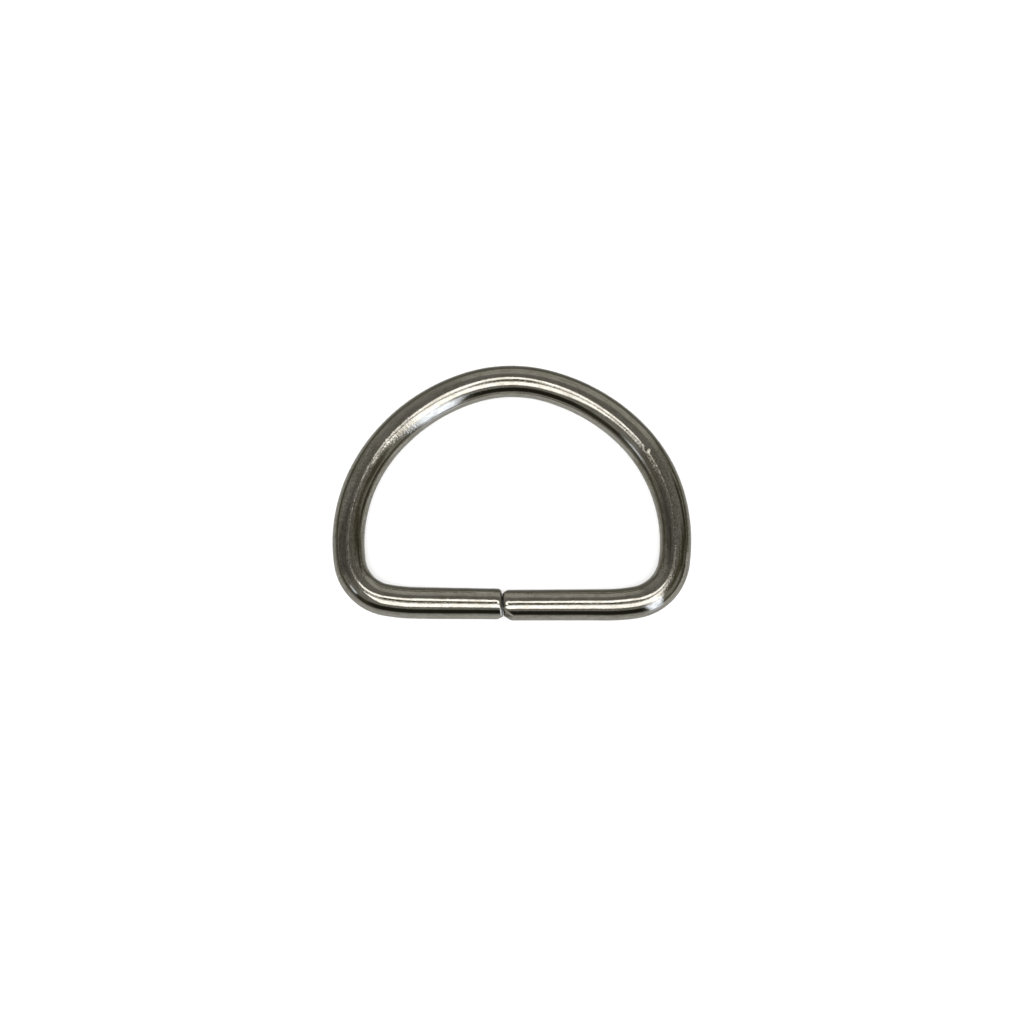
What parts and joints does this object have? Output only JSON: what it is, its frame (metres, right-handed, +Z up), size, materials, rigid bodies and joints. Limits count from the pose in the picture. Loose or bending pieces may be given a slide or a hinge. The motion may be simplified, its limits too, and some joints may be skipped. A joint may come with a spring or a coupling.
{
  "type": "d ring",
  "caption": "D ring bent from one nickel-plated round wire, its cut ends meeting unwelded in the straight bar that a sewn strap goes round.",
  "frame": {"origin": "middle of the ring's outline, at the height of the surface that it lies on", "axes": "+X along the straight bar, +Y from the bar towards the crown, +Z up from the surface"},
  "size_m": [0.0302, 0.0215, 0.0026],
  "materials": {
    "nickel_plate": "bright nickel plate over drawn steel wire, slightly dulled and marked from tumbling"
  },
  "bodies": {
    "root": {"wire_ring": "nickel_plate"}
  },
  "joints": []
}
